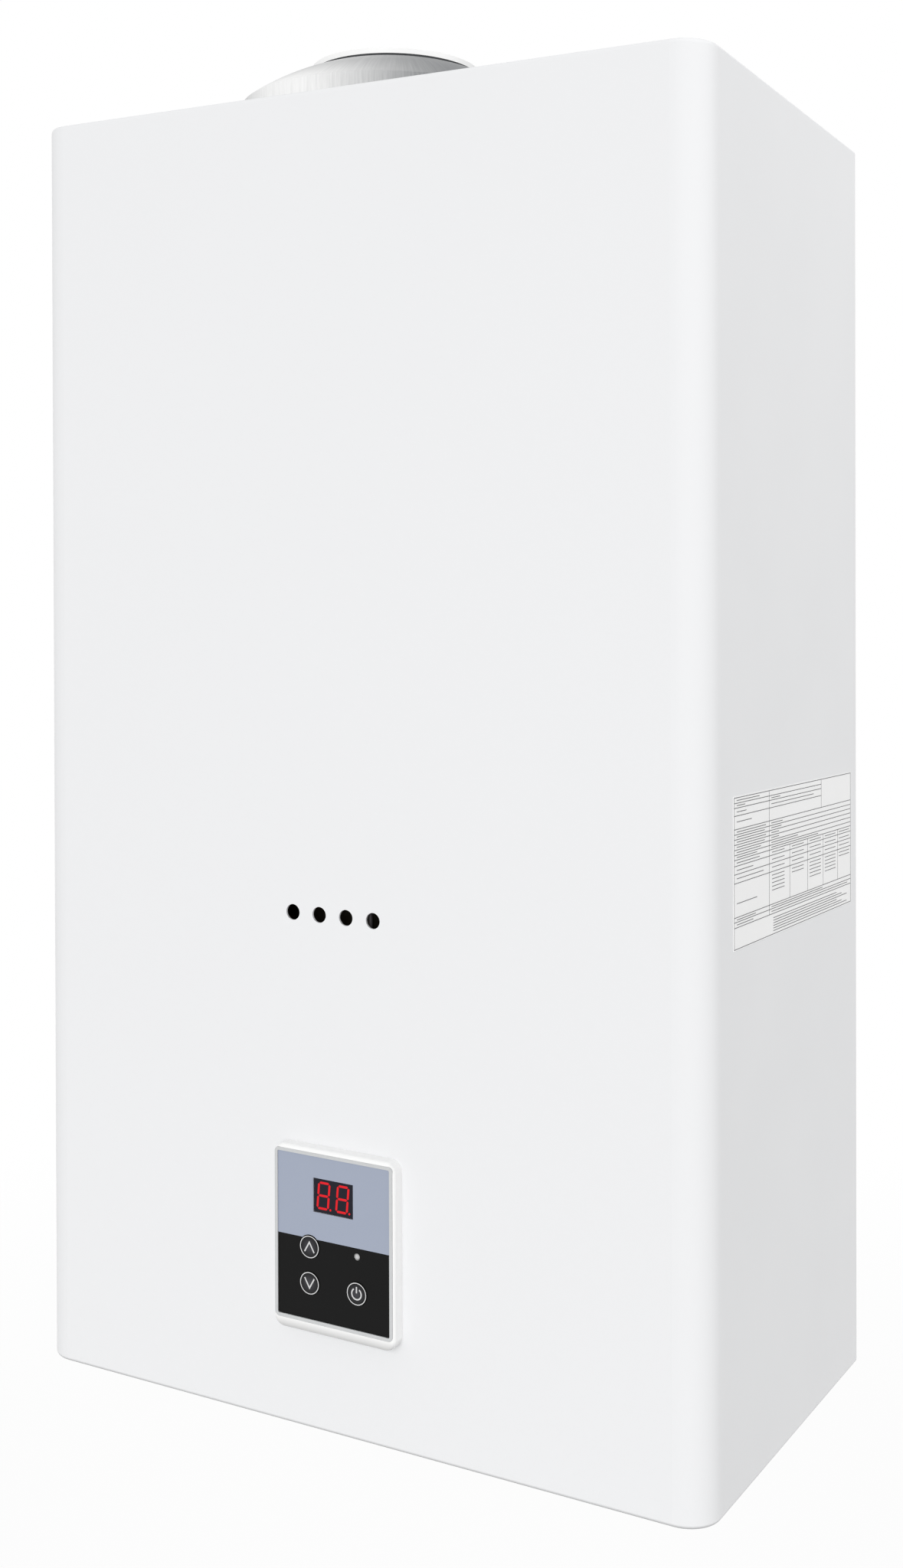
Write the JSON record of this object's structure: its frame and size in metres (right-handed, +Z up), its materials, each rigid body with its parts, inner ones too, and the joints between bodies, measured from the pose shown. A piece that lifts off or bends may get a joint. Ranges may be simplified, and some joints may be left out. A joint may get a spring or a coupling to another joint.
{
  "type": "tankless gas water heater",
  "caption": "Wall-hung open-flue gas water heater: tall enamelled case with a key-and-display panel, flame-viewing holes, flue collar on top and pipe stubs below.",
  "frame": {"origin": "on the wall plane, midway between the two hanging holes above the case", "axes": "+Z up, +Y into the wall, +X to the right as seen from the room; the front faces -Y"},
  "size_m": [0.3402, 0.207, 0.6545],
  "materials": {
    "white_enamel": "gloss stove enamel on sheet steel",
    "galvanised": "zinc-coated sheet steel",
    "copper": "plain copper",
    "stainless": "drawn stainless steel",
    "brass": "turned brass",
    "cast_aluminium": "die-cast aluminium",
    "black_plastic": "moulded black plastic",
    "grey_plastic": "moulded grey plastic",
    "white_gloss": "white gloss moulding",
    "trim_grey": "light-grey moulding",
    "overlay": "printed film, blue-grey above and black below",
    "button_black": "printed key cap",
    "display": "dark display face",
    "lamp": "diffusing lamp",
    "board": "green circuit board",
    "label": "blank white label",
    "mica": "mica pane",
    "ceramic": "white ceramic",
    "lead": "insulated wire",
    "cell": "sleeved dry cell"
  },
  "bodies": {
    "chassis": {"back_plate": "galvanised", "bottom_plate": "galvanised", "top_plate": "galvanised", "support_brackets": "galvanised", "flue_collar": "galvanised", "draught_hood": "galvanised", "draught_baffle": "galvanised", "spill_thermostat": "black_plastic", "exchanger_tubes": "copper", "exchanger_fins": "copper", "exchanger_frame": "copper", "combustion_chamber": "copper", "sight_window": "mica", "chamber_coil": "copper", "burner_blades": "stainless", "burner_tray": "galvanised", "gas_manifold": "cast_aluminium", "injectors": "brass", "electrode_rods": "stainless", "electrode_insulators": "ceramic", "gas_valve_body": "cast_aluminium", "solenoid_coil": "black_plastic", "plunger_spring": "stainless", "modulator_motor": "galvanised", "gas_elbow": "cast_aluminium", "gas_inlet_fitting": "brass", "hot_outlet_fitting": "brass", "cold_inlet_fitting": "brass", "lock_nuts": "brass", "flow_housing": "black_plastic", "flow_axle": "stainless", "cold_pipe": "copper", "hot_pipe": "copper", "overheat_thermostat": "black_plastic", "battery_box": "grey_plastic", "batteries": "cell", "battery_contacts": "stainless", "controller_case": "black_plastic", "controller_lid": "black_plastic", "wiring_leads": "lead", "manifold_screws": "stainless"},
    "cover": {"front_cover": "white_enamel", "rating_label": "label", "panel_bezel": "white_gloss", "panel_trim": "trim_grey", "panel_overlay": "overlay", "display_module": "display", "key_switches": "black_plastic", "indicator_lamp": "lamp", "panel_board": "board", "cover_screws": "stainless", "cover_nuts": "stainless"},
    "up_button": {"up_button": "button_black"},
    "down_button": {"down_button": "button_black"},
    "power_button": {"power_button": "button_black"},
    "battery_door": {"battery_door": "grey_plastic"},
    "drain_knob": {"drain_knob": "black_plastic"},
    "flow_rotor": {"flow_rotor": "grey_plastic"},
    "gas_plunger": {"solenoid_plunger": "stainless"},
    "gas_spindle": {"modulator_spindle": "stainless"}
  },
  "joints": [
    {"name": "cover_slide", "type": "slide", "parent": "chassis", "child": "cover", "axis": [0, -1, 0], "range_m": [0, 0.25]},
    {"name": "up_button_press", "type": "slide", "parent": "cover", "child": "up_button", "axis": [0, 1, 0], "range_m": [0, 0.0008], "stiffness_N_per_m": 500},
    {"name": "down_button_press", "type": "slide", "parent": "cover", "child": "down_button", "axis": [0, 1, 0], "range_m": [0, 0.0008], "stiffness_N_per_m": 500},
    {"name": "power_button_press", "type": "slide", "parent": "cover", "child": "power_button", "axis": [0, 1, 0], "range_m": [0, 0.0008], "stiffness_N_per_m": 500},
    {"name": "battery_door_hinge", "type": "hinge", "parent": "chassis", "child": "battery_door", "pos_m": [-0.0845, -0.1385, -0.6088], "axis": [1, 0, 0], "range_deg": [0, 100]},
    {"name": "drain_turn", "type": "hinge", "parent": "chassis", "child": "drain_knob", "pos_m": [0.123, -0.062, -0.61], "axis": [0, 0, -1], "range_deg": [0, 90]},
    {"name": "flow_spin", "type": "hinge", "parent": "chassis", "child": "flow_rotor", "pos_m": [0.085, -0.062, -0.548], "axis": [0, 0, 1], "continuous": true},
    {"name": "plunger_draw", "type": "slide", "parent": "chassis", "child": "gas_plunger", "axis": [-1, 0, 0], "range_m": [0, 0.003], "stiffness_N_per_m": 300, "deforming": ["plunger_spring"]},
    {"name": "modulator_turn", "type": "hinge", "parent": "chassis", "child": "gas_spindle", "pos_m": [0.03, -0.098, -0.466], "axis": [1, 0, 0], "range_deg": [0, 90]}
  ]
}
